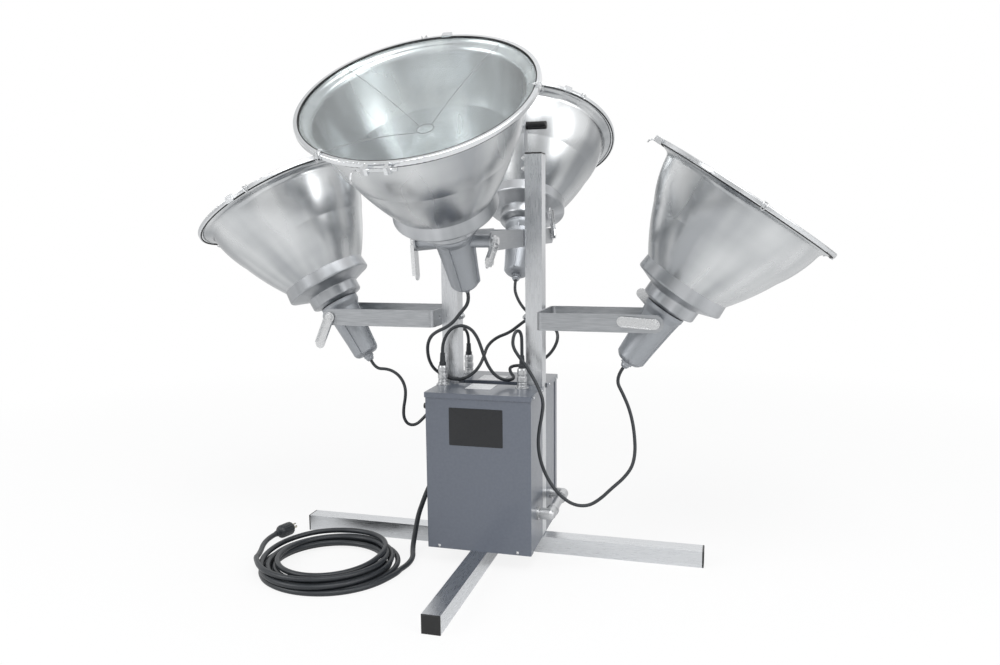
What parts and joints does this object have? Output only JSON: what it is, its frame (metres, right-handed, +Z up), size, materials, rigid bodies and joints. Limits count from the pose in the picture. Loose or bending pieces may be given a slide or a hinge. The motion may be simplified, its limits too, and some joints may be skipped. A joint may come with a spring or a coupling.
{
  "type": "portable floodlight",
  "caption": "Portable four-lamp work floodlight: tilting bell reflectors on a square-tube stand with ballast boxes and a power cord.",
  "frame": {"origin": "on the floor under the crossing of the base tubes", "axes": "+X along the long base arm to the stand's right, +Y to the back, +Z up"},
  "size_m": [1.9246, 1.684, 1.4812],
  "materials": {
    "frame_tube": "mill finish extruded square tube",
    "cap_plastic": "black moulded plastic",
    "handle_bar": "mill finish bar",
    "grip": "black glossy moulded grip",
    "box_paint": "slate grey glossy enamel on steel sheet",
    "core": "varnished laminated core and coil",
    "receptacle": "zinc plated die casting",
    "boot": "black moulded rubber",
    "conduit": "zinc plated fittings",
    "yoke": "mill finish flat bar, bent",
    "gland": "black nylon gland",
    "cord_jacket": "black rubber cable jacket",
    "reflector": "spun aluminium, semi-bright",
    "neck": "spun aluminium, matt",
    "housing": "die cast aluminium, matt",
    "bulb": "clear glass envelope",
    "lens": "clear tempered glass",
    "ring": "rolled clamp ring with gasket",
    "lever": "zinc plated stamping"
  },
  "bodies": {
    "stand": {"base_crossbar": "frame_tube", "base_leg_front": "frame_tube", "base_leg_rear": "frame_tube", "upright_left": "frame_tube", "upright_right": "frame_tube", "frame_crossbar": "frame_tube", "tube_end_caps": "cap_plastic", "handle_frame": "handle_bar", "handle_grips": "grip", "ballast_housings": "box_paint", "ballast_covers": "box_paint", "ballast_lids": "box_paint", "ballast_cores": "core", "lead_receptacles": "receptacle", "lead_boots": "boot", "conduit_link": "conduit", "yoke_right": "yoke", "yoke_left": "yoke", "yoke_front": "yoke", "yoke_rear": "yoke", "cord_gland": "gland", "power_cord": "cord_jacket", "power_cord_coil": "cord_jacket", "power_plug": "boot", "lead_right": "cord_jacket", "lead_left": "cord_jacket", "lead_front": "cord_jacket", "lead_rear": "cord_jacket"},
    "lamp_right": {"reflector_right": "reflector", "lamp_neck_right": "neck", "socket_housing_right": "housing", "bulb_right": "bulb", "lens_right": "lens", "lens_ring_right": "ring", "tilt_levers_right": "lever"},
    "lamp_left": {"reflector_left": "reflector", "lamp_neck_left": "neck", "socket_housing_left": "housing", "bulb_left": "bulb", "lens_left": "lens", "lens_ring_left": "ring", "tilt_levers_left": "lever"},
    "lamp_front": {"reflector_front": "reflector", "lamp_neck_front": "neck", "socket_housing_front": "housing", "bulb_front": "bulb", "lens_front": "lens", "lens_ring_front": "ring", "tilt_levers_front": "lever"},
    "lamp_rear": {"reflector_rear": "reflector", "lamp_neck_rear": "neck", "socket_housing_rear": "housing", "bulb_rear": "bulb", "lens_rear": "lens", "lens_ring_rear": "ring", "tilt_levers_rear": "lever"}
  },
  "joints": [
    {"name": "tilt_right", "type": "hinge", "parent": "stand", "child": "lamp_right", "pos_m": [0.4942, 0, 0.727], "axis": [0, 1, 0], "range_deg": [-34.5, 60.5], "deforming": ["lead_right"]},
    {"name": "tilt_left", "type": "hinge", "parent": "stand", "child": "lamp_left", "pos_m": [-0.4942, 0, 0.727], "axis": [0, 1, 0], "range_deg": [-65.5, 29.5], "deforming": ["lead_left"]},
    {"name": "tilt_front", "type": "hinge", "parent": "stand", "child": "lamp_front", "pos_m": [0, -0.3624, 0.965], "axis": [1, 0, 0], "range_deg": [-37, 58], "deforming": ["lead_front"]},
    {"name": "tilt_rear", "type": "hinge", "parent": "stand", "child": "lamp_rear", "pos_m": [0, 0.3624, 0.965], "axis": [1, 0, 0], "range_deg": [-64, 31], "deforming": ["lead_rear"]}
  ]
}
